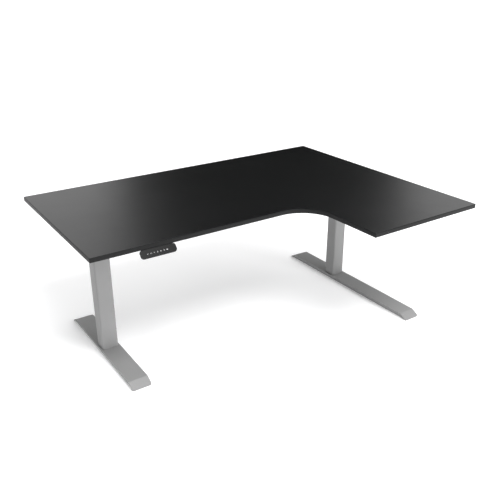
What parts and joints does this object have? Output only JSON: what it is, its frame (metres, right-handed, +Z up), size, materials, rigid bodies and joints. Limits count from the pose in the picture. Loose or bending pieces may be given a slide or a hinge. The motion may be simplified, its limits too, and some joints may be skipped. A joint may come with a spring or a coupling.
{
  "type": "height adjustable standing desk",
  "caption": "Corner desk whose L-shaped top rides on motor-driven telescopic columns, with a sloped keypad under the front edge.",
  "frame": {"origin": "on the floor, below the middle of the rectangle that the L-shaped top fills", "axes": "+X to the right along the back edge, +Y towards the back edge, away from the person, +Z up, the way the top lifts"},
  "size_m": [1.6, 1.2, 0.64],
  "materials": {
    "desk_laminate": "black melamine-faced board, satin, very fine pore texture",
    "edge_banding": "black plastic edge band, satin",
    "powder_coat": "mid-grey powder coat, fine orange peel, satin",
    "black_plastic": "black moulded plastic, fine spark texture",
    "key_plastic": "dark moulded keys, satin, pale printed signs",
    "guide_plastic": "black low-friction plastic",
    "bright_steel": "rolled and ground steel",
    "zinc_steel": "zinc-plated steel",
    "cast_metal": "cast aluminium, slightly rough",
    "gear_plastic": "natural plastic gear",
    "cable_rubber": "black cable sheath, dull",
    "circuit_board": "green circuit board"
  },
  "bodies": {
    "base": {"left_foot": "powder_coat", "left_outer_tube": "powder_coat", "left_outer_guide": "guide_plastic", "left_nut_tube": "bright_steel", "right_foot": "powder_coat", "right_outer_tube": "powder_coat", "right_outer_guide": "guide_plastic", "right_nut_tube": "bright_steel"},
    "top": {"desktop": "desk_laminate", "edge_band": "edge_banding", "control_box": "black_plastic", "power_inlet": "guide_plastic", "left_motor_lead": "cable_rubber", "right_motor_lead": "cable_rubber", "handset_lead": "cable_rubber", "handset_case": "black_plastic", "handset_cover": "black_plastic", "handset_board": "circuit_board", "front_rail_sleeve": "powder_coat", "front_rail_slider": "powder_coat", "back_rail_sleeve": "powder_coat", "back_rail_slider": "powder_coat", "left_inner_tube": "powder_coat", "left_gearbox": "cast_metal", "left_motor": "black_plastic", "left_column_head": "powder_coat", "left_front_arm": "powder_coat", "left_back_arm": "powder_coat", "right_inner_tube": "powder_coat", "right_gearbox": "cast_metal", "right_motor": "black_plastic", "right_column_head": "powder_coat", "right_front_arm": "powder_coat", "right_back_arm": "powder_coat"},
    "left_middle_stage": {"left_middle_tube": "powder_coat", "left_middle_guide": "guide_plastic", "left_middle_carrier": "zinc_steel"},
    "left_lower_screw": {"left_hollow_screw": "bright_steel"},
    "left_upper_screw": {"left_spindle": "bright_steel", "left_worm_wheel": "gear_plastic"},
    "left_worm_shaft": {"left_worm": "bright_steel"},
    "left_front_glide_body": {"left_front_glide": "black_plastic"},
    "left_back_glide_body": {"left_back_glide": "black_plastic"},
    "right_middle_stage": {"right_middle_tube": "powder_coat", "right_middle_guide": "guide_plastic", "right_middle_carrier": "zinc_steel"},
    "right_lower_screw": {"right_hollow_screw": "bright_steel"},
    "right_upper_screw": {"right_spindle": "bright_steel", "right_worm_wheel": "gear_plastic"},
    "right_worm_shaft": {"right_worm": "bright_steel"},
    "right_front_glide_body": {"right_front_glide": "black_plastic"},
    "right_back_glide_body": {"right_back_glide": "black_plastic"},
    "key_up_body": {"key_up": "key_plastic"},
    "key_down_body": {"key_down": "key_plastic"},
    "key_one_body": {"key_one": "key_plastic"},
    "key_two_body": {"key_two": "key_plastic"},
    "key_three_body": {"key_three": "key_plastic"},
    "key_four_body": {"key_four": "key_plastic"},
    "key_store_body": {"key_store": "key_plastic"}
  },
  "joints": [
    {"name": "lift", "type": "slide", "parent": "base", "child": "top", "axis": [0, 0, 1], "range_m": [0, 0.65]},
    {"name": "left_middle_slide", "type": "slide", "parent": "base", "child": "left_middle_stage", "axis": [0, 0, 1], "range_m": [0, 0.325]},
    {"name": "left_lower_screw_spin", "type": "hinge", "parent": "left_middle_stage", "child": "left_lower_screw", "pos_m": [-0.631, 0.181, 0.3], "axis": [0, 0, 1], "range_deg": [0, 23405]},
    {"name": "left_upper_screw_spin", "type": "hinge", "parent": "top", "child": "left_upper_screw", "pos_m": [-0.631, 0.181, 0.5], "axis": [0, 0, 1], "range_deg": [0, 23405]},
    {"name": "left_worm_spin", "type": "hinge", "parent": "top", "child": "left_worm_shaft", "pos_m": [-0.631, 0.2065, 0.597], "axis": [1, 0, 0], "range_deg": [0, 561605]},
    {"name": "right_middle_slide", "type": "slide", "parent": "base", "child": "right_middle_stage", "axis": [0, 0, 1], "range_m": [0, 0.325]},
    {"name": "right_lower_screw_spin", "type": "hinge", "parent": "right_middle_stage", "child": "right_lower_screw", "pos_m": [0.711, 0.181, 0.3], "axis": [0, 0, 1], "range_deg": [0, 23405]},
    {"name": "right_upper_screw_spin", "type": "hinge", "parent": "top", "child": "right_upper_screw", "pos_m": [0.711, 0.181, 0.5], "axis": [0, 0, 1], "range_deg": [0, 23405]},
    {"name": "right_worm_spin", "type": "hinge", "parent": "top", "child": "right_worm_shaft", "pos_m": [0.711, 0.2065, 0.597], "axis": [1, 0, 0], "range_deg": [0, 561605]},
    {"name": "key_up_press", "type": "slide", "parent": "top", "child": "key_up_body", "axis": [0, 0.7581, -0.6521], "range_m": [0, 0.0008], "stiffness_N_per_m": 2500, "springref_m": -0.0004},
    {"name": "key_down_press", "type": "slide", "parent": "top", "child": "key_down_body", "axis": [0, 0.7581, -0.6521], "range_m": [0, 0.0008], "stiffness_N_per_m": 2500, "springref_m": -0.0004},
    {"name": "key_one_press", "type": "slide", "parent": "top", "child": "key_one_body", "axis": [0, 0.7581, -0.6521], "range_m": [0, 0.0008], "stiffness_N_per_m": 2500, "springref_m": -0.0004},
    {"name": "key_two_press", "type": "slide", "parent": "top", "child": "key_two_body", "axis": [0, 0.7581, -0.6521], "range_m": [0, 0.0008], "stiffness_N_per_m": 2500, "springref_m": -0.0004},
    {"name": "key_three_press", "type": "slide", "parent": "top", "child": "key_three_body", "axis": [0, 0.7581, -0.6521], "range_m": [0, 0.0008], "stiffness_N_per_m": 2500, "springref_m": -0.0004},
    {"name": "key_four_press", "type": "slide", "parent": "top", "child": "key_four_body", "axis": [0, 0.7581, -0.6521], "range_m": [0, 0.0008], "stiffness_N_per_m": 2500, "springref_m": -0.0004},
    {"name": "key_store_press", "type": "slide", "parent": "top", "child": "key_store_body", "axis": [0, 0.7581, -0.6521], "range_m": [0, 0.0008], "stiffness_N_per_m": 2500, "springref_m": -0.0004},
    {"name": "left_front_glide_adjust", "type": "slide", "parent": "base", "child": "left_front_glide_body", "axis": [0, 0, 1], "range_m": [-0.006, 0.002]},
    {"name": "left_back_glide_adjust", "type": "slide", "parent": "base", "child": "left_back_glide_body", "axis": [0, 0, 1], "range_m": [-0.006, 0.002]},
    {"name": "right_front_glide_adjust", "type": "slide", "parent": "base", "child": "right_front_glide_body", "axis": [0, 0, 1], "range_m": [-0.006, 0.002]},
    {"name": "right_back_glide_adjust", "type": "slide", "parent": "base", "child": "right_back_glide_body", "axis": [0, 0, 1], "range_m": [-0.006, 0.002]}
  ],
  "couplings": [
    {"joint": "left_middle_slide", "follows": "lift", "ratio": 0.5},
    {"joint": "left_lower_screw_spin", "follows": "lift", "rad_per_m": 628.32},
    {"joint": "left_upper_screw_spin", "follows": "lift", "rad_per_m": 628.32},
    {"joint": "left_worm_spin", "follows": "lift", "rad_per_m": 15080},
    {"joint": "right_middle_slide", "follows": "lift", "ratio": 0.5},
    {"joint": "right_lower_screw_spin", "follows": "lift", "rad_per_m": 628.32},
    {"joint": "right_upper_screw_spin", "follows": "lift", "rad_per_m": 628.32},
    {"joint": "right_worm_spin", "follows": "lift", "rad_per_m": 15080}
  ]
}
